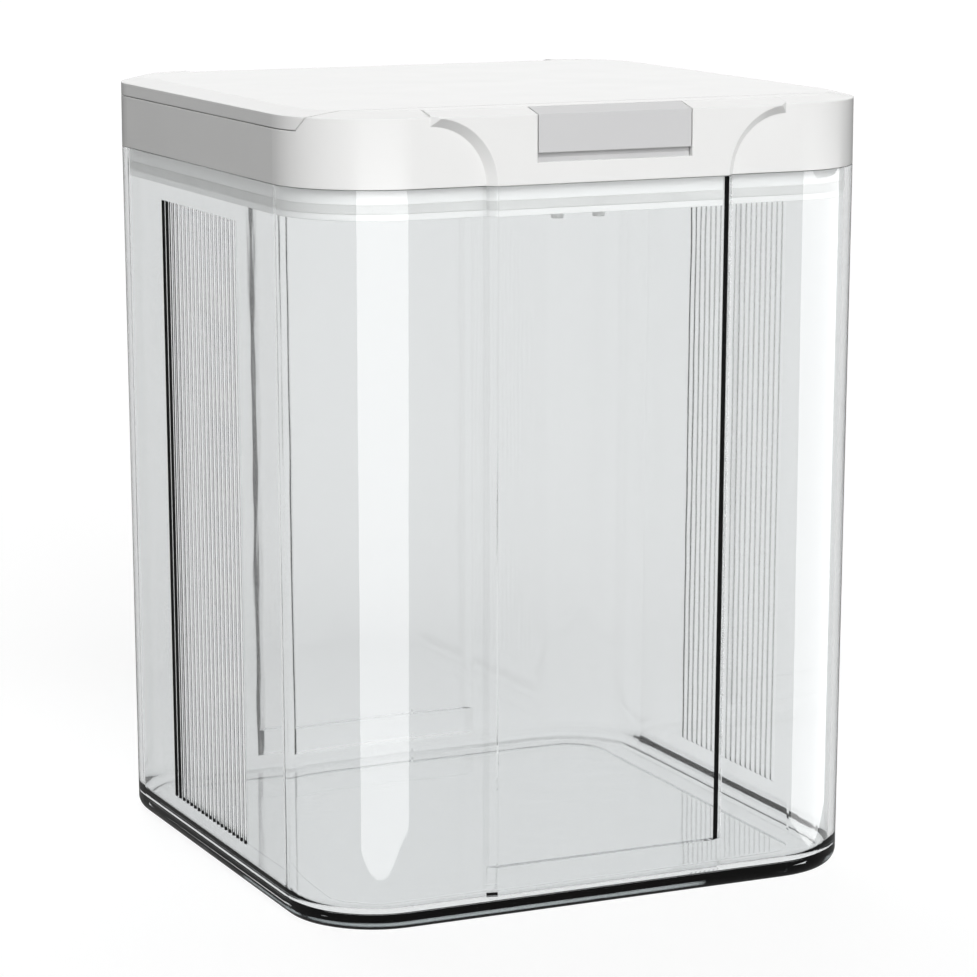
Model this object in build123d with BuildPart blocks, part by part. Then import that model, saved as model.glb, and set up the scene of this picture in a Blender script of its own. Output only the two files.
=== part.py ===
"""Pet food storage container: a clear square tank under a lid with a push-button flip cover.

Millimetres. The origin is the middle of the foot, Z is up, and the button faces -Y.
"""
from build123d import *
from math import atan2, degrees, tan, radians
import os

# How far cutters and joined blocks run past the faces they meet
overlap = 1.0

# Outline that the tank and the lid share
outline_side = 220.0
corner_radius = 36.0
panel_width = 88.0
panel_proud = 3.0

# Tank
tank_height = 257.2
tank_draft = 2.0
tank_wall = 2.5
base_thickness = 5.0
foot_round = 5.0
foot_recess_depth = 1.0
foot_rim_width = 18.0
floor_round = 6.0
panel_foot = 8.0
flute_count = 19
flute_pitch = 4.0
flute_depth = 0.7
flute_radius = 2.4
flute_foot = 16.0
flute_top_margin = 16.0

# Lid frame
rim_gap = 0.2
frame_height = 18.8
frame_wall = 2.5
deck_drop = 3.0
deck_thickness = 2.5
bevel_rise = 2.0
bevel_run = 8.3
front_bar_depth = 21.5
front_bar_lean = 7.0
flare_radius = 23.6
flare_draw = 9.0
back_bar_depth = 3.7
shoulder_depth = 13.2
shoulder_lean = 4.0
shoulder_gap = 1.6

# Mouth under the flip cover
mouth_width = 156.0
mouth_length = 155.0
mouth_centre_y = 7.5
mouth_radius = 20.0
collar_wall = 2.5

# Plug that sinks into the tank
plug_depth = 10.6
plug_gap = 0.6
plug_wall = 2.2
plug_flange = 2.5
gasket_height = 3.0
gasket_groove_depth = 1.2
gasket_gap = 0.3
gasket_rise = 2.4
peg_radius = 2.2
peg_drop = 4.6
peg_spread = 16.0
peg_setback = 30.0

# Flip cover
cover_gap = 0.3
cover_edge = 4.5
cover_rim = 3.0
cover_front_gap = 0.4
liner_thickness = 2.4
liner_gap = 0.2
liner_plug_depth = 8.3
liner_plug_gap = 1.2
liner_plug_wall = 2.2
cover_gasket_height = 2.5
cover_groove_depth = 1.0
cover_gasket_gap = 0.4
cover_gasket_rise = 3.5

# Hinge
hinge_setback = 10.0
hinge_rise = 1.4
barrel_radius = 3.6
barrel_length = 140.0
lug_width = 6.0
lug_radius = 3.2
hinge_side_gap = 0.4
hinge_pin_radius = 1.5
hinge_pin_length = 17.0
hinge_arm_lap = 4.0
pin_running_gap = 0.08
pin_press_gap = 0.03

# Button
button_width = 58.0
button_height = 13.0
button_depth = 8.3
button_core_width = 32.0
button_gap = 0.4
button_travel = 2.8
button_well_gap = 0.4
button_wall = 2.2
button_tab_width = 14.0
button_tab_length = 4.3
button_tab_rise = 1.7
button_tab_thickness = 2.5
button_tab_gap = 0.4
spring_spread = 40.0
spring_coil = 2.0
spring_wire = 0.35
spring_turns = 3
spring_setback = 4.1
spring_well_radius = 2.7
spring_well_depth = 5.6
spring_seat_gap = 0.05

# Latch
latch_width = 12.0
latch_setback = 18.0
latch_rise = 6.0
latch_hub_radius = 2.6
latch_arm_reach = 7.6
latch_arm_pad = 1.2
latch_arm_thickness = 2.2
latch_arm_root = 2.0
latch_arm_root_drop = 0.5
latch_stem_foot = 3.2
latch_stem_front = 1.6
latch_stem_back = 2.2
latch_neck_front = 1.4
latch_neck_back = 1.5
latch_crown_back = 1.2
latch_nose_rise = 8.2
latch_nose_height = 2.8
latch_nose_tip = 0.6
latch_pin_radius = 1.2
latch_pin_length = 27.0
latch_bay_width = 22.0
latch_bay_length = 22.9
latch_bay_gap = 3.9
latch_block_width = 68.0
latch_block_length = 31.0
latch_spring_turns = 2
latch_spring_gap = 0.4
catch_width = 16.0
catch_setback = 0.3
catch_slot_gap = 1.0
catch_thickness = 2.5
catch_lip = 3.1
catch_lip_height = 2.0
catch_nose_gap = 0.5
catch_top_gap = 0.2
retainer_width = 40.0
retainer_length = 17.0
retainer_thickness = 1.5
retainer_gap = 0.3
retainer_setback = 9.0
retainer_recess = 2.8
retainer_post_gap = 0.2
retainer_post_clearance = 0.1
retainer_screw_inset = 3.5

# Desiccant well under the flip cover
well_radius = 29.0
well_wall = 2.4
well_depth = 7.3
cap_thickness = 1.7
cap_gap = 0.3
cap_skirt_height = 3.0
cap_skirt_wall = 1.6
cap_slot_count = 7
cap_slot_width = 2.4
cap_slot_pitch = 5.6
cap_lug_count = 3
cap_lug_height = 1.0
cap_lug_reach = 0.8
cap_lug_width = 4.0
cap_lug_rise = 1.6
cap_lug_root = 0.2
cap_turn = 40.0
cap_rib_height = 2.5
cap_rib_thickness = 2.4
packet_radius = 22.5
packet_thickness = 3.9
packet_round = 1.5

# Screws
screw_radius = 1.2
screw_head_radius = 2.6
screw_head_height = 1.6
screw_length = 9.0
screw_hole_gap = 0.05
screw_through_gap = 0.4
screw_tip_gap = 1.0
small_screw_radius = 1.0
small_head_radius = 2.0
small_head_height = 1.1
small_screw_length = 6.0
boss_radius = 4.0
cover_screw_bite = 2.6
cover_screw_tip_gap = 0.2
cover_screw_spread = 180.0
cover_screw_pitch = 125.0
screw_row_setback = 16.0
front_screw_spread = 120.0
front_screw_setback = 15.0
back_screw_spread = 100.0
back_screw_setback = 12.5

# Heights and faces that several pieces share
half = outline_side / 2
panel_half = panel_width / 2
front_y = -half - panel_proud
tank_lean = degrees(atan2(tank_draft, tank_height))
step_angle = 45
lid_z = tank_height + rim_gap
side_z = lid_z + frame_height
deck_z = side_z - deck_drop
cover_z = side_z + cover_gap
edge_z = cover_z + cover_edge
crown_z = edge_z + bevel_rise
bar_back_y = front_y + front_bar_depth + front_bar_lean / 2
bar_top_y = bar_back_y - front_bar_lean
bar_front_y = -half
shoulder_y = half - shoulder_depth
cover_back_y = shoulder_y - shoulder_gap
back_lean_slope = shoulder_lean / (crown_z - side_z)
hinge_y = half - hinge_setback
hinge_z = side_z + hinge_rise
lug_outer_x = barrel_length / 2 + hinge_side_gap + lug_width
gasket_z = lid_z - plug_depth + gasket_rise
plug_inset = tank_wall + plug_gap
gasket_inset = tank_wall + gasket_gap + tank_draft * (tank_height - gasket_z) / tank_height
flange_z = lid_z - plug_flange
frame_bite = screw_length - plug_flange

# Places of the button, its springs and the latch
button_half = button_width / 2
button_foot_z = edge_z - button_height
button_pocket_z = button_foot_z - button_travel - button_well_gap
button_back_y = front_y + button_depth
tab_z = button_foot_z + button_tab_rise
spring_y = front_y + spring_setback
spring_z = button_pocket_z - spring_well_depth
spring_x = (-spring_spread / 2, spring_spread / 2)
latch_y = front_y + latch_setback
latch_z = lid_z + latch_rise
bay_front_y = latch_y - latch_arm_reach - latch_bay_gap
bay_back_y = bay_front_y + latch_bay_length
catch_front_y = bar_back_y + cover_front_gap + catch_setback
catch_lip_y = catch_front_y - catch_lip
catch_top_z = latch_z + latch_nose_rise - catch_top_gap
retainer_y = front_y + retainer_setback
retainer_top_z = lid_z + retainer_recess
retainer_z = retainer_top_z - retainer_thickness
retainer_screw_x = (retainer_width / 2 - retainer_screw_inset, retainer_screw_inset - retainer_width / 2)

# Heights of the liner under the flip cover and of its desiccant well
plug_foot_z = cover_z - liner_plug_depth
cover_gasket_z = plug_foot_z + cover_gasket_rise
well_z = cover_z - well_depth
well_bore = well_radius - well_wall
cap_top_z = well_z - cap_gap
cap_skirt_radius = well_bore - cap_gap
cap_lug_z = cap_top_z + cap_lug_rise

STANDING = (Align.CENTER, Align.CENTER, Align.MIN)
HANGING = (Align.CENTER, Align.CENTER, Align.MAX)
along_x = (0, 90, 0)

frame_screws_at = [
    *[(x, 0) for x in (screw_row_setback - half, half - screw_row_setback)],
    *[(x, half - back_screw_setback) for x in (-back_screw_spread / 2, back_screw_spread / 2)],
    *[(x, front_y + front_screw_setback) for x in (-front_screw_spread / 2, front_screw_spread / 2)],
]
cover_screws_at = [
    (x, mouth_centre_y + y)
    for x in (-cover_screw_spread / 2, cover_screw_spread / 2)
    for y in (-cover_screw_pitch / 2, cover_screw_pitch / 2)
]


def leaning_inset(height):
    """How far the drafted tank wall stands inside the lid's outline at a height."""
    return tank_draft * (1 - height / tank_height)


def panelled_outline(inset):
    """Rounded square with proud front and back panels, inset from the lid's outline."""
    edge = half - inset
    inner = panel_half - inset * tan(radians(step_angle / 2))
    outer = inner + panel_proud
    RectangleRounded(2 * edge, 2 * edge, corner_radius - inset)
    for facing in (-1, 1):
        Polygon(
            (-outer, facing * (edge - panel_proud)),
            (-outer, facing * edge),
            (-inner, facing * (edge + panel_proud)),
            (inner, facing * (edge + panel_proud)),
            (outer, facing * edge),
            (outer, facing * (edge - panel_proud)),
            align=None,
        )


def plain_outline(inset):
    """The rounded square alone."""
    edge = half - inset
    RectangleRounded(2 * edge, 2 * edge, corner_radius - inset)


def mouth_outline(grow, mode=Mode.ADD):
    """The mouth of the lid, grown or shrunk all round."""
    with Locations((0, mouth_centre_y)):
        RectangleRounded(
            mouth_width + 2 * grow, mouth_length + 2 * grow, mouth_radius + grow, mode=mode
        )


def flare_outline(grow):
    """Front view of the lid's proud panel, whose side edges flare out to the crown."""
    low_x = panel_half + grow
    radius = flare_radius - grow
    wide_x = low_x + radius
    foot = lid_z - 2 * panel_proud
    top = crown_z + 2 * panel_proud
    with BuildLine() as outline:
        Polyline((-low_x, lid_z), (-low_x, foot), (low_x, foot), (low_x, lid_z))
        CenterArc((wide_x, lid_z), radius, 180, -90)
        Polyline((wide_x, lid_z + radius), (wide_x, top), (-wide_x, top), (-wide_x, lid_z + radius))
        CenterArc((-wide_x, lid_z), radius, 90, -90)
    make_face(outline.edges())


def side_profile(points, width, mode=Mode.ADD):
    """A solid drawn by its (y, z) side view, centred on X."""
    with BuildSketch(Plane.YZ.offset(-width / 2)) as profile:
        Polygon(*points, align=None)
    extrude(profile.sketch, amount=width, mode=mode)


def block_between(x_half, y_low, y_high, z_low, z_high, mode=Mode.ADD):
    """A block between two faces each way, centred on X."""
    with Locations((0, (y_low + y_high) / 2, (z_low + z_high) / 2)):
        Box(2 * x_half, y_high - y_low, z_high - z_low, mode=mode)


def coil(start, axis, length, turns):
    """A coil spring of square wire that runs from start along axis."""
    with BuildPart() as spring:
        with BuildLine():
            path = Helix(length / turns, length, spring_coil, center=start, direction=axis)
        with BuildSketch(Plane(path @ 0, z_dir=path % 0)):
            Rectangle(2 * spring_wire, 2 * spring_wire)
        sweep(path=path, is_frenet=True)
    return spring.part


os.makedirs("parts", exist_ok=True)

# Tank: drafted, panelled and fluted shell with a thick, round-edged base
with BuildPart() as tank_cavity:
    with BuildSketch(Plane.XY.offset(base_thickness)):
        plain_outline(leaning_inset(base_thickness) + tank_wall)
    extrude(amount=tank_height - base_thickness, taper=-tank_lean)
    fillet(tank_cavity.edges().group_by(Axis.Z)[0], radius=floor_round)

with BuildPart() as panel_cavity:
    cavity_foot = base_thickness + floor_round + panel_foot
    with BuildSketch(Plane.XY.offset(cavity_foot)):
        panelled_outline(leaning_inset(cavity_foot) + tank_wall)
    extrude(amount=tank_height - cavity_foot, taper=-tank_lean)

with BuildPart() as tank_panels:
    with BuildSketch(Plane.XY.offset(panel_foot)):
        panelled_outline(leaning_inset(panel_foot))
    extrude(amount=tank_height - panel_foot, taper=-tank_lean)

with BuildPart() as tank_body:
    with BuildSketch(Plane.XY):
        plain_outline(tank_draft)
    extrude(amount=tank_height, taper=-tank_lean)
    fillet(tank_body.edges().group_by(Axis.Z)[0], radius=foot_round)
    add(tank_panels.part)
    add(tank_cavity.part, mode=Mode.SUBTRACT)
    add(panel_cavity.part, mode=Mode.SUBTRACT)
    with BuildSketch(Plane.XY):
        plain_outline(tank_draft + foot_rim_width)
    extrude(amount=foot_recess_depth, mode=Mode.SUBTRACT)
    for side in (-1, 1):
        lean = Vector(side * tank_draft, 0, tank_height)
        foot_x = side * (half - tank_draft + flute_radius - flute_depth)
        foot = Vector(foot_x, 0, 0) + lean * (flute_foot / tank_height)
        with BuildSketch(Plane(foot, x_dir=(0, 1, 0), z_dir=lean)):
            with GridLocations(flute_pitch, 0, flute_count, 1):
                Circle(flute_radius)
        extrude(amount=tank_height - flute_foot - flute_top_margin, mode=Mode.SUBTRACT)
tank_body.part.label = "tank_body"
export_step(tank_body.part, "parts/tank_body.step")

# The lid's crowned outer form, cut into the fixed frame and the flip cover below
with BuildPart() as lid_form:
    with BuildSketch(Plane.XY.offset(lid_z)):
        plain_outline(0)
    extrude(amount=edge_z - lid_z)
    with BuildSketch(Plane.XY.offset(edge_z)):
        plain_outline(0)
    extrude(amount=bevel_rise, taper=degrees(atan2(bevel_run, bevel_rise)))

# Lid frame: side walls, deck, mouth collar, fixed front bar, back bar and hinge lugs
with BuildPart() as frame_hollow:
    with BuildSketch(Plane.XY.offset(lid_z)):
        plain_outline(frame_wall)
        mouth_outline(collar_wall, mode=Mode.SUBTRACT)
        with Locations((0, front_y + latch_block_length / 2)):
            Rectangle(latch_block_width, latch_block_length, mode=Mode.SUBTRACT)
    extrude(amount=frame_height - deck_drop - deck_thickness)

with BuildPart() as lid_frame:
    add(lid_form.part)
    with BuildSketch(Plane((0, bar_front_y, 0), x_dir=(1, 0, 0), z_dir=(0, -1, 0))) as flare_root:
        flare_outline(panel_proud)
    extrude(amount=panel_proud, taper=step_angle)
    extrude(flare_root.sketch, amount=-flare_draw)
    side_profile(
        [
            (front_y - overlap, edge_z),
            (front_y, edge_z),
            (front_y + bevel_run, crown_z),
            (front_y + bevel_run, crown_z + frame_height),
            (front_y - overlap, crown_z + frame_height),
        ],
        outline_side,
        mode=Mode.SUBTRACT,
    )
    block_between(half, front_y, half, crown_z, crown_z + frame_height, mode=Mode.SUBTRACT)
    block_between(half, front_y - overlap, half, lid_z - frame_height, lid_z, mode=Mode.SUBTRACT)
    side_profile(
        [
            (bar_back_y, side_z),
            (bar_top_y, crown_z + overlap),
            (shoulder_y + back_lean_slope * overlap, crown_z + overlap),
            (shoulder_y - shoulder_lean, side_z),
        ],
        outline_side + 2 * overlap,
        mode=Mode.SUBTRACT,
    )
    with BuildSketch(Plane.XY.offset(deck_z)):
        plain_outline(frame_wall)
        recess_back_y = shoulder_y - shoulder_lean
        with Locations((0, (bar_back_y + recess_back_y) / 2)):
            Rectangle(outline_side, recess_back_y - bar_back_y, mode=Mode.INTERSECT)
    extrude(amount=deck_drop, mode=Mode.SUBTRACT)
    add(frame_hollow.part, mode=Mode.SUBTRACT)
    with BuildSketch(Plane.XY.offset(lid_z)):
        mouth_outline(0)
    extrude(amount=frame_height, mode=Mode.SUBTRACT)
    with Locations(*[(x, y, lid_z) for x, y in frame_screws_at]):
        Cylinder(boss_radius, deck_z - deck_thickness - lid_z, align=STANDING)
        Cylinder(
            screw_radius + screw_hole_gap, frame_bite + screw_tip_gap,
            align=STANDING, mode=Mode.SUBTRACT,
        )
    block_between(
        button_half + button_gap, front_y - overlap, button_back_y + button_gap,
        button_pocket_z, crown_z + overlap, mode=Mode.SUBTRACT,
    )
    with Locations(*[(x, spring_y, spring_z) for x in spring_x]):
        Cylinder(spring_well_radius, spring_well_depth, align=STANDING, mode=Mode.SUBTRACT)
    block_between(latch_bay_width / 2, bay_front_y, bay_back_y, lid_z, side_z, mode=Mode.SUBTRACT)
    block_between(
        catch_width / 2 + catch_slot_gap, catch_lip_y - catch_slot_gap, bar_back_y,
        side_z - overlap, crown_z + overlap, mode=Mode.SUBTRACT,
    )
    block_between(
        retainer_width / 2 + retainer_gap, retainer_y - retainer_gap,
        retainer_y + retainer_length + retainer_gap, lid_z, retainer_top_z, mode=Mode.SUBTRACT,
    )
    block_between(
        latch_pin_length / 2, latch_y - latch_pin_radius, latch_y + latch_pin_radius,
        lid_z, latch_z, mode=Mode.SUBTRACT,
    )
    with Locations((0, latch_y, latch_z)):
        Cylinder(latch_pin_radius, latch_pin_length, rotation=along_x, mode=Mode.SUBTRACT)
    with Locations(*[(x, latch_y, retainer_top_z) for x in retainer_screw_x]):
        Cylinder(
            small_screw_radius + screw_hole_gap, small_screw_length, align=STANDING, mode=Mode.SUBTRACT
        )
    block_between(
        lug_outer_x, recess_back_y - overlap, half - back_bar_depth,
        deck_z, crown_z + overlap, mode=Mode.SUBTRACT,
    )
    lug_x = lug_outer_x - lug_width / 2
    with Locations((-lug_x, hinge_y, hinge_z), (lug_x, hinge_y, hinge_z)):
        Cylinder(lug_radius, lug_width, rotation=along_x)
        Box(lug_width, 2 * lug_radius, hinge_z - deck_z, align=HANGING)
        Cylinder(hinge_pin_radius + pin_press_gap, lug_width, rotation=along_x, mode=Mode.SUBTRACT)
lid_frame.part.label = "lid_frame"
export_step(lid_frame.part, "parts/lid_frame.step")

# Plug: a skirt that sinks into the tank, a flange that closes the frame and two guide pegs
with BuildPart() as gasket_groove:
    with BuildSketch(Plane.XY.offset(gasket_z)):
        panelled_outline(plug_inset - overlap)
    extrude(amount=gasket_height)
    with BuildSketch(Plane.XY.offset(gasket_z)):
        panelled_outline(plug_inset + gasket_groove_depth)
    extrude(amount=gasket_height, mode=Mode.SUBTRACT)

with BuildPart() as lid_plug:
    with BuildSketch(Plane.XY.offset(lid_z - plug_depth)):
        panelled_outline(plug_inset)
    extrude(amount=plug_depth)
    with BuildSketch(Plane.XY.offset(lid_z - plug_depth)):
        panelled_outline(plug_inset + plug_wall)
    extrude(amount=plug_depth - plug_flange, mode=Mode.SUBTRACT)
    with BuildSketch(Plane.XY.offset(lid_z - plug_depth)):
        mouth_outline(0)
    extrude(amount=plug_depth, mode=Mode.SUBTRACT)
    add(gasket_groove.part, mode=Mode.SUBTRACT)
    with Locations(*[(x, y, flange_z) for x, y in frame_screws_at]):
        Cylinder(screw_radius + screw_through_gap, plug_flange, align=STANDING, mode=Mode.SUBTRACT)
    with Locations(*[(x, front_y + peg_setback, flange_z) for x in (-peg_spread / 2, peg_spread / 2)]):
        Cylinder(peg_radius, plug_depth - plug_flange + peg_drop, align=HANGING)
lid_plug.part.label = "lid_plug"
export_step(lid_plug.part, "parts/lid_plug.step")

with BuildPart() as plug_gasket:
    with BuildSketch(Plane.XY.offset(gasket_z)):
        panelled_outline(gasket_inset)
    extrude(amount=gasket_height)
    with BuildSketch(Plane.XY.offset(gasket_z)):
        panelled_outline(plug_inset + gasket_groove_depth)
    extrude(amount=gasket_height, mode=Mode.SUBTRACT)
plug_gasket.part.label = "plug_gasket"
export_step(plug_gasket.part, "parts/plug_gasket.step")

with BuildPart() as frame_screws:
    with Locations(*[(x, y, flange_z) for x, y in frame_screws_at]):
        Cylinder(screw_head_radius, screw_head_height, align=HANGING)
        Cylinder(screw_radius, screw_length, align=STANDING)
frame_screws.part.label = "frame_screws"
export_step(frame_screws.part, "parts/frame_screws.step")

# Flip cover: crowned plate with a rim, hinge arm, barrel and the hooked catch
cover_lean = [
    (bar_back_y + cover_front_gap, side_z),
    (bar_top_y + cover_front_gap, crown_z + overlap),
]
with BuildPart() as flip_cover:
    add(lid_form.part)
    block_between(half, -half, half, lid_z, cover_z, mode=Mode.SUBTRACT)
    side_profile(
        [*cover_lean, (-outline_side, crown_z + overlap), (-outline_side, side_z)],
        outline_side,
        mode=Mode.SUBTRACT,
    )
    side_profile(
        [
            (cover_back_y - shoulder_lean, side_z),
            (cover_back_y + back_lean_slope * overlap, crown_z + overlap),
            (outline_side, crown_z + overlap),
            (outline_side, side_z),
        ],
        outline_side,
        mode=Mode.SUBTRACT,
    )
    with BuildSketch(Plane.XY.offset(cover_z)):
        plain_outline(cover_rim)
        pocket_front_y = bar_back_y + cover_front_gap + cover_rim
        pocket_back_y = cover_back_y - shoulder_lean - cover_rim
        with Locations((0, (pocket_front_y + pocket_back_y) / 2)):
            Rectangle(outline_side, pocket_back_y - pocket_front_y, mode=Mode.INTERSECT)
    extrude(amount=liner_thickness, mode=Mode.SUBTRACT)
    side_profile(
        [
            (pocket_back_y, cover_z),
            (pocket_back_y, crown_z),
            (hinge_y - hinge_arm_lap, crown_z),
            (hinge_y, hinge_z + barrel_radius),
            (hinge_y, cover_z),
        ],
        barrel_length,
    )
    with Locations((0, hinge_y, hinge_z)):
        Cylinder(barrel_radius, barrel_length, rotation=along_x)
    pin_bore_depth = hinge_pin_length - lug_width
    bore_x = barrel_length / 2 - pin_bore_depth / 2
    with Locations((-bore_x, hinge_y, hinge_z), (bore_x, hinge_y, hinge_z)):
        Cylinder(
            hinge_pin_radius + pin_running_gap, pin_bore_depth, rotation=along_x, mode=Mode.SUBTRACT
        )
    block_between(
        catch_width / 2, catch_front_y, catch_front_y + catch_thickness,
        catch_top_z - catch_lip_height, cover_z + overlap,
    )
    block_between(
        catch_width / 2, catch_lip_y, catch_front_y, catch_top_z - catch_lip_height, catch_top_z
    )
    with Locations(*[(x, y, cover_z) for x, y in cover_screws_at]):
        Cylinder(
            screw_radius + screw_hole_gap, liner_thickness + cover_screw_bite + cover_screw_tip_gap,
            align=STANDING, mode=Mode.SUBTRACT,
        )
flip_cover.part.label = "flip_cover"
export_step(flip_cover.part, "parts/flip_cover.step")

with BuildPart() as hinge_pins:
    pin_x = lug_outer_x - hinge_pin_length / 2
    with Locations((-pin_x, hinge_y, hinge_z), (pin_x, hinge_y, hinge_z)):
        Cylinder(hinge_pin_radius, hinge_pin_length, rotation=along_x)
hinge_pins.part.label = "hinge_pins"
export_step(hinge_pins.part, "parts/hinge_pins.step")

# Liner under the flip cover: plate, plug ring with its gasket groove, and desiccant well
with BuildPart() as cover_groove:
    with BuildSketch(Plane.XY.offset(cover_gasket_z)):
        mouth_outline(overlap)
    extrude(amount=cover_gasket_height)
    with BuildSketch(Plane.XY.offset(cover_gasket_z)):
        mouth_outline(-liner_plug_gap - cover_groove_depth)
    extrude(amount=cover_gasket_height, mode=Mode.SUBTRACT)

with BuildPart() as liner_core:
    with BuildSketch(Plane.XY.offset(plug_foot_z)):
        mouth_outline(-liner_plug_gap - liner_plug_wall)
    extrude(amount=liner_plug_depth)

with BuildPart() as cover_liner:
    with BuildSketch(Plane.XY.offset(plug_foot_z)):
        mouth_outline(-liner_plug_gap)
    extrude(amount=liner_plug_depth)
    add(liner_core.part, mode=Mode.SUBTRACT)
    add(cover_groove.part, mode=Mode.SUBTRACT)
    with BuildSketch(Plane.XY.offset(cover_z)):
        plain_outline(cover_rim + liner_gap)
        with Locations((0, (pocket_front_y + pocket_back_y) / 2)):
            liner_length = pocket_back_y - pocket_front_y - 2 * liner_gap
            Rectangle(outline_side, liner_length, mode=Mode.INTERSECT)
    extrude(amount=liner_thickness)
    with Locations((0, mouth_centre_y, well_z)):
        Cylinder(well_radius, well_depth, align=STANDING)
        Cylinder(well_bore, well_depth, align=STANDING, mode=Mode.SUBTRACT)
    with Locations((0, mouth_centre_y, cap_lug_z - cap_gap)):
        Cylinder(
            well_bore + cap_lug_reach + cap_gap, cap_lug_height + 2 * cap_gap,
            align=STANDING, mode=Mode.SUBTRACT,
        )
    entry_reach = cap_lug_reach + 2 * cap_gap
    entry_height = cap_lug_z - well_z
    with Locations((0, mouth_centre_y, well_z)):
        with PolarLocations(well_bore + entry_reach / 2 - cap_gap, cap_lug_count, cap_turn):
            Box(
                entry_reach, cap_lug_width + 2 * cap_gap, entry_height,
                align=STANDING, mode=Mode.SUBTRACT,
            )
    with Locations(*[(x, y, cover_z) for x, y in cover_screws_at]):
        Cylinder(screw_radius + screw_hole_gap, liner_thickness, align=STANDING, mode=Mode.SUBTRACT)
cover_liner.part.label = "cover_liner"
export_step(cover_liner.part, "parts/cover_liner.step")

with BuildPart() as cover_gasket:
    with BuildSketch(Plane.XY.offset(cover_gasket_z)):
        mouth_outline(-cover_gasket_gap)
        mouth_outline(-liner_plug_gap - cover_groove_depth, mode=Mode.SUBTRACT)
    extrude(amount=cover_gasket_height)
cover_gasket.part.label = "cover_gasket"
export_step(cover_gasket.part, "parts/cover_gasket.step")

with BuildPart() as cover_screws:
    with Locations(*[(x, y, cover_z) for x, y in cover_screws_at]):
        Cylinder(screw_head_radius, screw_head_height, align=HANGING)
        Cylinder(screw_radius, liner_thickness + cover_screw_bite, align=STANDING)
cover_screws.part.label = "cover_screws"
export_step(cover_screws.part, "parts/cover_screws.step")

# Desiccant: a packet held in the well by a slotted bayonet cap
with BuildPart() as desiccant_cap:
    with Locations((0, mouth_centre_y, cap_top_z)):
        Cylinder(well_radius, cap_thickness, align=HANGING)
        Cylinder(cap_skirt_radius, cap_skirt_height, align=STANDING)
        Cylinder(cap_skirt_radius - cap_skirt_wall, cap_skirt_height, align=STANDING, mode=Mode.SUBTRACT)
        with GridLocations(cap_slot_pitch, 0, cap_slot_count, 1):
            Box(cap_slot_width, well_radius, cap_thickness, align=HANGING, mode=Mode.SUBTRACT)
    with Locations((0, mouth_centre_y, cap_top_z - cap_thickness)):
        Box(2 * well_bore, cap_rib_thickness, cap_rib_height, align=HANGING)
    with Locations((0, mouth_centre_y, cap_lug_z)):
        lug_middle = well_bore + (cap_lug_reach - cap_gap - cap_skirt_wall) / 2
        with PolarLocations(lug_middle, cap_lug_count):
            Box(
                cap_lug_reach + cap_gap + cap_skirt_wall - cap_lug_root, cap_lug_width, cap_lug_height,
                align=STANDING,
            )
desiccant_cap.part.label = "desiccant_cap"
export_step(desiccant_cap.part, "parts/desiccant_cap.step")

with BuildPart() as desiccant_packet:
    with Locations((0, mouth_centre_y, cap_top_z + cap_gap)):
        Cylinder(packet_radius, packet_thickness, align=STANDING)
    chamfer(desiccant_packet.edges().filter_by(GeomType.CIRCLE), length=packet_round)
desiccant_packet.part.label = "desiccant_packet"
export_step(desiccant_packet.part, "parts/desiccant_packet.step")

# Button: bevelled like the front bar, hollow in the middle, with a tab that tips the latch
with BuildPart() as button:
    side_profile(
        [
            (front_y, button_foot_z),
            (front_y, edge_z),
            (front_y + bevel_run, crown_z),
            (button_back_y, crown_z),
            (button_back_y, button_foot_z),
        ],
        button_width,
    )
    block_between(
        button_core_width / 2, front_y + button_wall, button_back_y - button_wall,
        button_foot_z, edge_z - button_wall, mode=Mode.SUBTRACT,
    )
    block_between(
        button_tab_width / 2, button_back_y - overlap, button_back_y + button_tab_length,
        tab_z, tab_z + button_tab_thickness,
    )
button.part.label = "button"
export_step(button.part, "parts/button.step")

spring_rise = button_foot_z - spring_z - 2 * (spring_wire + spring_seat_gap)
button_springs = Compound(
    label="button_springs",
    children=[
        coil((x, spring_y, spring_z + spring_wire + spring_seat_gap), (0, 0, 1), spring_rise, spring_turns)
        for x in spring_x
    ],
)
export_step(button_springs, "parts/button_springs.step")

# Latch: a rocking hook on a steel pin, with its coil spring and the plate that keeps the pin in
nose_tip = catch_lip_y - catch_nose_gap - latch_y
pad_rise = tab_z - button_tab_gap - latch_z
with BuildPart() as latch_hook:
    with BuildSketch(Plane.YZ.offset(-latch_width / 2)):
        with Locations((latch_y, latch_z)):
            Polygon(
                (-latch_arm_root, -latch_arm_root_drop),
                (-latch_arm_reach, pad_rise - latch_arm_thickness),
                (-latch_arm_reach, pad_rise),
                (-latch_arm_reach + latch_arm_pad, pad_rise),
                (-latch_stem_front, latch_stem_foot),
                (-latch_neck_front, latch_nose_rise + latch_nose_height),
                (latch_crown_back, latch_nose_rise + latch_nose_height),
                (nose_tip, latch_nose_rise + latch_nose_tip),
                (nose_tip, latch_nose_rise),
                (latch_neck_back, latch_nose_rise),
                (latch_stem_back, 0),
                align=None,
            )
            Circle(latch_hub_radius)
            Circle(latch_pin_radius + pin_running_gap, mode=Mode.SUBTRACT)
    extrude(amount=latch_width)
latch_hook.part.label = "latch_hook"
export_step(latch_hook.part, "parts/latch_hook.step")

with BuildPart() as latch_pin:
    with Locations((0, latch_y, latch_z)):
        Cylinder(latch_pin_radius, latch_pin_length, rotation=along_x)
latch_pin.part.label = "latch_pin"
export_step(latch_pin.part, "parts/latch_pin.step")

latch_spring_room = (latch_bay_width - latch_width) / 2
latch_spring = coil(
    (latch_width / 2 + spring_wire + latch_spring_gap, latch_y, latch_z),
    (1, 0, 0),
    latch_spring_room - 2 * (spring_wire + latch_spring_gap),
    latch_spring_turns,
)
latch_spring.label = "latch_spring"
export_step(latch_spring, "parts/latch_spring.step")

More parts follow.
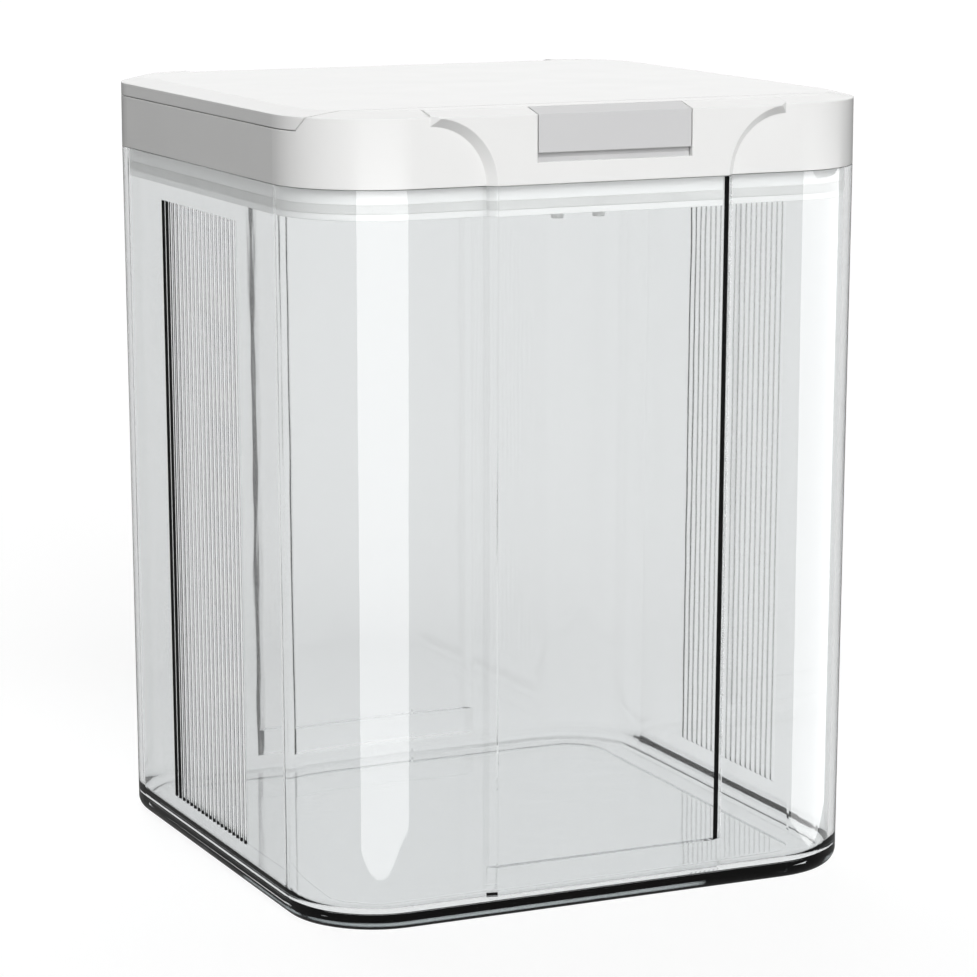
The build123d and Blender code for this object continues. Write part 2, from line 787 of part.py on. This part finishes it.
with BuildPart() as latch_retainer:
    retainer_back_y = retainer_y + retainer_length
    block_between(retainer_width / 2, retainer_y, retainer_back_y, retainer_z, retainer_top_z)
    post_x = latch_pin_length / 2 - (latch_pin_length - latch_bay_width) / 4
    with Locations((-post_x, latch_y, retainer_top_z), (post_x, latch_y, retainer_top_z)):
        Box(
            (latch_pin_length - latch_bay_width) / 2 - 2 * retainer_post_gap,
            2 * (latch_pin_radius - retainer_post_gap),
            latch_z - latch_pin_radius - retainer_top_z - retainer_post_clearance,
            align=STANDING,
        )
    with Locations(*[(x, latch_y, retainer_z) for x in retainer_screw_x]):
        Cylinder(
            small_screw_radius + screw_hole_gap, retainer_thickness, align=STANDING, mode=Mode.SUBTRACT
        )
latch_retainer.part.label = "latch_retainer"
export_step(latch_retainer.part, "parts/latch_retainer.step")

with BuildPart() as retainer_screws:
    with Locations(*[(x, latch_y, retainer_z) for x in retainer_screw_x]):
        Cylinder(small_head_radius, small_head_height, align=HANGING)
        Cylinder(small_screw_radius, small_screw_length, align=STANDING)
retainer_screws.part.label = "retainer_screws"
export_step(retainer_screws.part, "parts/retainer_screws.step")
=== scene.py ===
"""Dresses the pet food storage container: clear fluted tank, white lid, grey push button."""
import math
import bmesh
import bpy
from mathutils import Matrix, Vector


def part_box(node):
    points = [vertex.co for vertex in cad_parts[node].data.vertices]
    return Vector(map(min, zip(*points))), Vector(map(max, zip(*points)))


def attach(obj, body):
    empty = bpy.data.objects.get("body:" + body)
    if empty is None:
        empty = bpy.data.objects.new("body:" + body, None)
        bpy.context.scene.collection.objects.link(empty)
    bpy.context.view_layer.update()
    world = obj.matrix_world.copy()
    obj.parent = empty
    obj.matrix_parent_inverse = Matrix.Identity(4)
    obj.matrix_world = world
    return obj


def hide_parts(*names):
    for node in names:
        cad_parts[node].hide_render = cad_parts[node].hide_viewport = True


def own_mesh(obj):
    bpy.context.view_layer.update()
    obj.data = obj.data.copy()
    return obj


# Lengths are in metres, and colours are linear with their alpha last

# The camera stands to the left of the front, a little above the lid
CAMERA_TURN = math.radians(24.7)
CAMERA_RISE = math.radians(10.58)
CAMERA_DISTANCE = 1.384
CAMERA_TARGET = Vector((0.00435, 0, 0.13133))
CAMERA_REACH = 20.0
FOCAL_PIXELS = 3695.5
FRAME_PIXELS = 977
# The sensor's width in millimetres
SENSOR = 36.0

# Colours of the surfaces
WHITE = (0.88, 0.88, 0.872, 1)
CLEAR = (0.875, 0.885, 0.887, 1)
BUTTON_GREY = (0.635, 0.635, 0.64, 1)
# The strip under the button is grey as painted shade, standing for the shaded recess there
BOOT_SHADE_GREY = (0.56, 0.56, 0.565, 1)
MECHANISM_GREY = (0.45, 0.45, 0.46, 1)
SILICONE = (0.70, 0.70, 0.69, 1)
STEEL = (0.60, 0.60, 0.61, 1)
PAPER = (0.82, 0.80, 0.75, 1)

# The tint of deep clear plastic, how fast it deepens, and the light that passes to the shadow
CLEAR_DEPTH = (0.58, 0.62, 0.63, 1)
CLEAR_DENSITY = 9.0
CLEAR_SHADOW = (0.95, 0.955, 0.96, 1)

# The small radius that softens moulded edges, and the rays that find it
MOULDED_EDGE = 0.0005
EDGE_SAMPLES = 4

# The middle stretch of a noise value, over which a tint runs from dark to light
TINT_FROM = 0.3
TINT_TO = 0.7

# The strip that closes the slot under the button. Its height is the slot's
BOOT_SETBACK = 0.0014
BOOT_THICKNESS = 0.0012
BOOT_END_GAP = 0.0001
BOOT_HEIGHT = 0.0032
# Its outline in shares of thickness and height, with a shallow fold across the front
BOOT_OUTLINE = ((0, 0), (0.2, 0.3), (0.35, 0.5), (0.2, 0.7), (0, 1), (1, 1), (1, 0))

# The button's two springs
SPRING_WIRE = 0.0005
SPRING_TURNS = 7
SPRING_STEPS = 20
SPRING_SIDES = 8

# The floor, with its own light where the camera or a clear piece sees it
FLOOR_SIDE = 60.0
FLOOR_DROP = -0.0002
FLOOR_COLOR = (0.4, 0.4, 0.4, 1)
FLOOR_GLOW = 0.66

# The world as it is seen, and the strength of its light on the object
PURE_WHITE = (1, 1, 1, 1)
WORLD_LIGHT = 0.12

# Reflections see a darker floor, which fades in from just above the horizon to a little below it
REFLECTED_FLOOR = (0.16, 0.16, 0.16, 1)
HORIZON_TOP = 0.02
HORIZON_FOOT = -0.06

# Two tall panels that the tank's front corners mirror, with their radiance
SOFTBOX_DISTANCE = 0.7
SOFTBOX_WIDTH = 0.6
SOFTBOX_LOW = -0.16
SOFTBOX_HIGH = 0.19
SOFTBOX_RADIANCE = 4.0

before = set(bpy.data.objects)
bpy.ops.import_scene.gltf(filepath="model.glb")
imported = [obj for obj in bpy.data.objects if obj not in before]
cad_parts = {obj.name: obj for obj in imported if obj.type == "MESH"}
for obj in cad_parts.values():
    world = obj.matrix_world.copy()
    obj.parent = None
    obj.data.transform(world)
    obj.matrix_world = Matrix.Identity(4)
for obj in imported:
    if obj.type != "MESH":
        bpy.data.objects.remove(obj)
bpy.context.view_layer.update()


def material(name):
    """A new node material, its tree and its shader."""
    made = bpy.data.materials.new(name)
    made.use_nodes = True
    tree = made.node_tree
    return made, tree, tree.nodes["Principled BSDF"]


def add_node(tree, kind, values):
    """A new node with some of its inputs set."""
    made = tree.nodes.new(kind)
    set_inputs(made, values)
    return made


def set_inputs(node, values):
    """Sets a node's inputs, by their names or numbers."""
    for name, value in values.items():
        node.inputs[name].default_value = value


def object_coordinates(tree, stretch=(1, 1, 1)):
    """Object coordinates, scaled along each axis."""
    place = tree.nodes.new("ShaderNodeTexCoord")
    mapping = add_node(tree, "ShaderNodeMapping", {"Scale": stretch})
    tree.links.new(place.outputs["Object"], mapping.inputs["Vector"])
    return mapping.outputs["Vector"]


def noise(tree, vector, scale, detail, roughness=0.5):
    """A noise texture's value."""
    values = {"Scale": scale, "Detail": detail, "Roughness": roughness}
    made = add_node(tree, "ShaderNodeTexNoise", values)
    tree.links.new(vector, made.inputs["Vector"])
    return made.outputs["Fac"]


def roughened(tree, shader, value, low, high):
    """Lets a value from 0 to 1 carry the shader's roughness between two limits."""
    made = add_node(tree, "ShaderNodeMapRange", {"To Min": low, "To Max": high})
    tree.links.new(value, made.inputs["Value"])
    tree.links.new(made.outputs["Result"], shader.inputs["Roughness"])


def bumped(tree, shader, height, strength, distance, edge=0.0):
    """Gives the shader a bump from a height, over edges softened by a small radius."""
    made = add_node(tree, "ShaderNodeBump", {"Strength": strength, "Distance": distance})
    if edge:
        soft = add_node(tree, "ShaderNodeBevel", {"Radius": edge})
        soft.samples = EDGE_SAMPLES
        tree.links.new(soft.outputs["Normal"], made.inputs["Normal"])
    tree.links.new(height, made.inputs["Height"])
    tree.links.new(made.outputs["Normal"], shader.inputs["Normal"])


def tinted(tree, shader, value, color, spread):
    """Varies the shader's colour a little about its own."""
    ramp = tree.nodes.new("ShaderNodeValToRGB")
    dark, light = ramp.color_ramp.elements
    dark.position = TINT_FROM
    light.position = TINT_TO
    dark.color = tuple(c * (1 - spread) for c in color[:3]) + (1,)
    light.color = tuple(min(1, c * (1 + spread)) for c in color[:3]) + (1,)
    tree.links.new(value, ramp.inputs["Fac"])
    tree.links.new(ramp.outputs["Color"], shader.inputs["Base Color"])


def moulded_plastic(name, color, roughness, coat):
    """Glossy moulded plastic with a faint flow pattern and a fine grain."""
    made, tree, shader = material(name)
    vector = object_coordinates(tree)
    clouds = noise(tree, vector, scale=14, detail=4)
    grain = noise(tree, vector, scale=2600, detail=2)
    tinted(tree, shader, clouds, color, spread=0.012)
    roughened(tree, shader, clouds, low=roughness * 0.8, high=roughness * 1.25)
    bumped(tree, shader, grain, strength=0.05, distance=0.00006, edge=MOULDED_EDGE)
    set_inputs(shader, {"Coat Weight": coat, "Coat Roughness": 0.08, "IOR": 1.49})
    return made


def clear_plastic():
    """Clear moulded plastic: it refracts, tints its thick edges and lets light through to the floor."""
    made, tree, shader = material("clear_plastic")
    set_inputs(shader, {"Base Color": CLEAR, "Transmission Weight": 1.0, "IOR": 1.52})
    vector = object_coordinates(tree, stretch=(1, 1, 0.25))
    flow = noise(tree, vector, scale=30, detail=3)
    roughened(tree, shader, flow, low=0.01, high=0.035)
    bumped(tree, shader, flow, strength=0.12, distance=0.0006)
    clear = add_node(tree, "ShaderNodeBsdfTransparent", {"Color": CLEAR_SHADOW})
    path = tree.nodes.new("ShaderNodeLightPath")
    mix = tree.nodes.new("ShaderNodeMixShader")
    output = tree.nodes["Material Output"]
    tree.links.new(path.outputs["Is Shadow Ray"], mix.inputs["Fac"])
    tree.links.new(shader.outputs["BSDF"], mix.inputs[1])
    tree.links.new(clear.outputs["BSDF"], mix.inputs[2])
    tree.links.new(mix.outputs["Shader"], output.inputs["Surface"])
    depth = {"Color": CLEAR_DEPTH, "Density": CLEAR_DENSITY}
    tint = add_node(tree, "ShaderNodeVolumeAbsorption", depth)
    tree.links.new(tint.outputs["Volume"], output.inputs["Volume"])
    return made


def soft_silicone(name, color):
    """Matt translucent silicone."""
    made, tree, shader = material(name)
    vector = object_coordinates(tree)
    clouds = noise(tree, vector, scale=60, detail=4)
    tinted(tree, shader, clouds, color, spread=0.04)
    grain = noise(tree, vector, scale=1400, detail=2)
    bumped(tree, shader, grain, strength=0.1, distance=0.00008)
    set_inputs(shader, {
        "Roughness": 0.55,
        "Subsurface Weight": 0.2,
        "Subsurface Radius": (0.002, 0.002, 0.002),
    })
    return made


def bright_steel():
    """Drawn steel wire and turned screws."""
    made, tree, shader = material("steel")
    vector = object_coordinates(tree, stretch=(1, 1, 6))
    streaks = noise(tree, vector, scale=700, detail=3)
    tinted(tree, shader, streaks, STEEL, spread=0.06)
    set_inputs(shader, {"Metallic": 1.0})
    roughened(tree, shader, streaks, low=0.22, high=0.4)
    bumped(tree, shader, streaks, strength=0.1, distance=0.00005)
    return made


def packet_paper():
    """Fibrous packet paper."""
    made, tree, shader = material("packet_paper")
    vector = object_coordinates(tree)
    fibres = noise(tree, vector, scale=900, detail=6, roughness=0.7)
    tinted(tree, shader, fibres, PAPER, spread=0.05)
    set_inputs(shader, {"Roughness": 0.85})
    bumped(tree, shader, fibres, strength=0.3, distance=0.0002)
    return made


def finished_piece(build, name, finish):
    """Turns a mesh that has been built into a piece with its material."""
    bmesh.ops.recalc_face_normals(build, faces=build.faces)
    mesh = bpy.data.meshes.new(name)
    build.to_mesh(mesh)
    build.free()
    piece = bpy.data.objects.new(name, mesh)
    bpy.context.scene.collection.objects.link(piece)
    mesh.materials.append(finish)
    return piece


def button_boot(finish):
    """The soft strip that closes the slot under the button; its grey is painted shade for the shaded recess
    there.
    """
    low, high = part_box("button")
    build = bmesh.new()
    front = low[1] + BOOT_SETBACK
    ends = []
    for side in (low[0] + BOOT_END_GAP, high[0] - BOOT_END_GAP):
        ends.append([
            build.verts.new((side, front + BOOT_THICKNESS * depth, low[2] - BOOT_HEIGHT * (1 - rise)))
            for depth, rise in BOOT_OUTLINE
        ])
    build.faces.new(ends[0])
    build.faces.new(list(reversed(ends[1])))
    for start in range(len(BOOT_OUTLINE)):
        end = (start + 1) % len(BOOT_OUTLINE)
        build.faces.new((ends[0][start], ends[1][start], ends[1][end], ends[0][end]))
    piece = finished_piece(build, "button_boot", finish)
    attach(piece, "lid")
    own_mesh(piece)


def coil(build, centre, foot, height, radius):
    """A coil spring of round wire with level ends, added to a mesh that is being built."""
    wire = SPRING_WIRE / 2
    steps = SPRING_TURNS * SPRING_STEPS
    rings = []
    for step in range(steps + 1):
        angle = 2 * math.pi * step / SPRING_STEPS
        rise = (step - SPRING_STEPS) / (steps - 2 * SPRING_STEPS)
        middle = foot + wire + min(max(rise, 0), 1) * (height - 2 * wire)
        ring = []
        for corner in range(SPRING_SIDES):
            around = 2 * math.pi * corner / SPRING_SIDES
            reach = radius - wire + wire * math.cos(around)
            ring.append(build.verts.new((
                centre[0] + reach * math.cos(angle),
                centre[1] + reach * math.sin(angle),
                middle + wire * math.sin(around),
            )))
        rings.append(ring)
    for ring, following in zip(rings, rings[1:]):
        for corner in range(SPRING_SIDES):
            other = (corner + 1) % SPRING_SIDES
            build.faces.new((ring[corner], ring[other], following[other], following[corner]))
    build.faces.new(rings[0])
    build.faces.new(list(reversed(rings[-1])))


def button_coils(finish):
    """The two springs under the button."""
    low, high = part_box("button_springs")
    radius = (high[1] - low[1]) / 2
    height = high[2] - low[2]
    build = bmesh.new()
    for x in (low[0] + radius, high[0] - radius):
        coil(build, (x, low[1] + radius), low[2], height, radius)
    for face in build.faces:
        face.smooth = True
    piece = finished_piece(build, "button_coils", finish)
    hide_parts("button_springs")
    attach(piece, "lid")
    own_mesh(piece)


def dress(finish, names):
    """Gives the named nodes a material in place of their own."""
    for name in names:
        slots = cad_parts[name].data.materials
        slots.clear()
        slots.append(finish)


def background():
    """The world: plain soft light, and white where the camera, a reflection or glass sees it."""
    world = bpy.data.worlds.new("studio")
    bpy.context.scene.world = world
    world.use_nodes = True
    tree = world.node_tree
    tree.nodes.clear()
    plain = {"Color": PURE_WHITE, "Strength": WORLD_LIGHT}
    lamp = add_node(tree, "ShaderNodeBackground", plain)
    seen = add_node(tree, "ShaderNodeBackground", {"Strength": 1.0})
    tree.links.new(reflected_studio(tree), seen.inputs["Color"])
    mix = tree.nodes.new("ShaderNodeMixShader")
    output = tree.nodes.new("ShaderNodeOutputWorld")
    tree.links.new(seen_directly(tree), mix.inputs["Fac"])
    tree.links.new(lamp.outputs["Background"], mix.inputs[1])
    tree.links.new(seen.outputs["Background"], mix.inputs[2])
    tree.links.new(mix.outputs["Shader"], output.inputs["Surface"])


def reflected_studio(tree):
    """The background's colour, which a reflection sees greyed below the horizon."""
    path = tree.nodes.new("ShaderNodeLightPath")
    place = tree.nodes.new("ShaderNodeTexCoord")
    split = tree.nodes.new("ShaderNodeSeparateXYZ")
    tree.links.new(place.outputs["Generated"], split.inputs["Vector"])
    horizon = {"From Min": HORIZON_TOP, "From Max": HORIZON_FOOT}
    below = add_node(tree, "ShaderNodeMapRange", horizon)
    tree.links.new(split.outputs["Z"], below.inputs["Value"])
    share = tree.nodes.new("ShaderNodeMath")
    share.operation = "MULTIPLY"
    tree.links.new(path.outputs["Is Glossy Ray"], share.inputs[0])
    tree.links.new(below.outputs["Result"], share.inputs[1])
    mix = tree.nodes.new("ShaderNodeMix")
    mix.data_type = "RGBA"
    set_inputs(mix, {"A": PURE_WHITE, "B": REFLECTED_FLOOR})
    tree.links.new(share.outputs["Value"], mix.inputs["Factor"])
    return mix.outputs["Result"]


def seen_directly(tree):
    """1 for a camera, glossy or transmission ray, else 0."""
    path = tree.nodes.new("ShaderNodeLightPath")
    value = path.outputs["Is Camera Ray"]
    for name in ("Is Glossy Ray", "Is Transmission Ray"):
        larger = tree.nodes.new("ShaderNodeMath")
        larger.operation = "MAXIMUM"
        tree.links.new(value, larger.inputs[0])
        tree.links.new(path.outputs[name], larger.inputs[1])
        value = larger.outputs["Value"]
    return value


def studio_floor():
    """A plain pale floor that keeps the object's shadow."""
    bpy.ops.mesh.primitive_plane_add(size=FLOOR_SIDE, location=(0, 0, FLOOR_DROP))
    floor = bpy.context.object
    floor.name = "floor"
    made, tree, shader = material("floor")
    set_inputs(shader, {"Base Color": FLOOR_COLOR, "Roughness": 0.9, "Specular IOR Level": 0.1})
    glow = add_node(tree, "ShaderNodeEmission", {"Color": PURE_WHITE})
    strength = add_node(tree, "ShaderNodeMath", {1: FLOOR_GLOW})
    strength.operation = "MULTIPLY"
    tree.links.new(seen_directly(tree), strength.inputs[0])
    tree.links.new(strength.outputs["Value"], glow.inputs["Strength"])
    both = tree.nodes.new("ShaderNodeAddShader")
    tree.links.new(shader.outputs["BSDF"], both.inputs[0])
    tree.links.new(glow.outputs["Emission"], both.inputs[1])
    tree.links.new(both.outputs["Shader"], tree.nodes["Material Output"].inputs["Surface"])
    floor.data.materials.append(made)
    floor.visible_glossy = False


def softbox(name, bearing):
    """A tall panel that only reflections see, facing the object from some degrees off its front."""
    turn = math.radians(bearing)
    place = Vector((math.sin(turn), -math.cos(turn), 0)) * SOFTBOX_DISTANCE
    place.z = (SOFTBOX_LOW + SOFTBOX_HIGH) / 2
    height = SOFTBOX_HIGH - SOFTBOX_LOW
    data = bpy.data.lights.new(name, "AREA")
    data.shape = "RECTANGLE"
    data.size = SOFTBOX_WIDTH
    data.size_y = height
    data.energy = SOFTBOX_RADIANCE * math.pi * SOFTBOX_WIDTH * height
    panel = bpy.data.objects.new(name, data)
    panel.location = place
    panel.rotation_euler = (Vector((0, 0, place.z)) - place).to_track_quat("-Z", "Y").to_euler()
    panel.visible_camera = False
    panel.visible_diffuse = False
    panel.visible_transmission = False
    panel.visible_volume_scatter = False
    bpy.context.scene.collection.objects.link(panel)


def sun_light(name, direction, strength, spread):
    """A soft far lamp that shines from a direction, over a spread in degrees."""
    data = bpy.data.lights.new(name, "SUN")
    data.energy = strength
    data.angle = math.radians(spread)
    lamp = bpy.data.objects.new(name, data)
    lamp.rotation_euler = Vector(direction).to_track_quat("Z", "Y").to_euler()
    lamp.visible_glossy = False
    lamp.visible_transmission = False
    bpy.context.scene.collection.objects.link(lamp)


def camera():
    """The camera at the photograph's angle."""
    data = bpy.data.cameras.new("camera")
    data.sensor_width = SENSOR
    data.lens = FOCAL_PIXELS / FRAME_PIXELS * SENSOR
    data.clip_end = CAMERA_REACH
    made = bpy.data.objects.new("camera", data)
    level = math.cos(CAMERA_RISE)
    offset = Vector((
        -math.sin(CAMERA_TURN) * level,
        -math.cos(CAMERA_TURN) * level,
        math.sin(CAMERA_RISE),
    ))
    made.location = CAMERA_TARGET + CAMERA_DISTANCE * offset
    made.rotation_euler = (-offset).to_track_quat("-Z", "Y").to_euler()
    bpy.context.scene.collection.objects.link(made)
    bpy.context.scene.camera = made


camera()
background()
studio_floor()
sun_light("key", direction=(-0.25, -1.0, 0.7), strength=2.48, spread=40)
sun_light("fill", direction=(-0.35, -1.0, 0.05), strength=0.7, spread=60)
sun_light("top", direction=(0.3, 0.3, 1.0), strength=0.45, spread=80)
sun_light("back", direction=(0.15, 1.0, 0.35), strength=1.1, spread=60)
softbox("softbox_left", bearing=-16)
softbox("softbox_right", bearing=60)

steel = bright_steel()
dress(clear_plastic(), ["tank_body"])
dress(
    moulded_plastic("white_plastic", WHITE, roughness=0.22, coat=0.25),
    ["lid_frame", "lid_plug", "latch_retainer", "flip_cover", "cover_liner", "desiccant_cap"],
)
dress(moulded_plastic("button_plastic", BUTTON_GREY, roughness=0.35, coat=0.1), ["button"])
dress(moulded_plastic("mechanism_plastic", MECHANISM_GREY, roughness=0.4, coat=0.0), ["latch_hook"])
dress(soft_silicone("silicone", SILICONE), ["plug_gasket", "cover_gasket"])
dress(steel, ["frame_screws", "cover_screws", "retainer_screws", "hinge_pins", "latch_pin", "latch_spring"])
dress(packet_paper(), ["desiccant_packet"])

# The strip's grey is painted shade, standing for the shaded recess under the button
button_boot(soft_silicone("boot_shade_silicone", BOOT_SHADE_GREY))
button_coils(steel)

bpy.context.scene.view_settings.view_transform = "Standard"
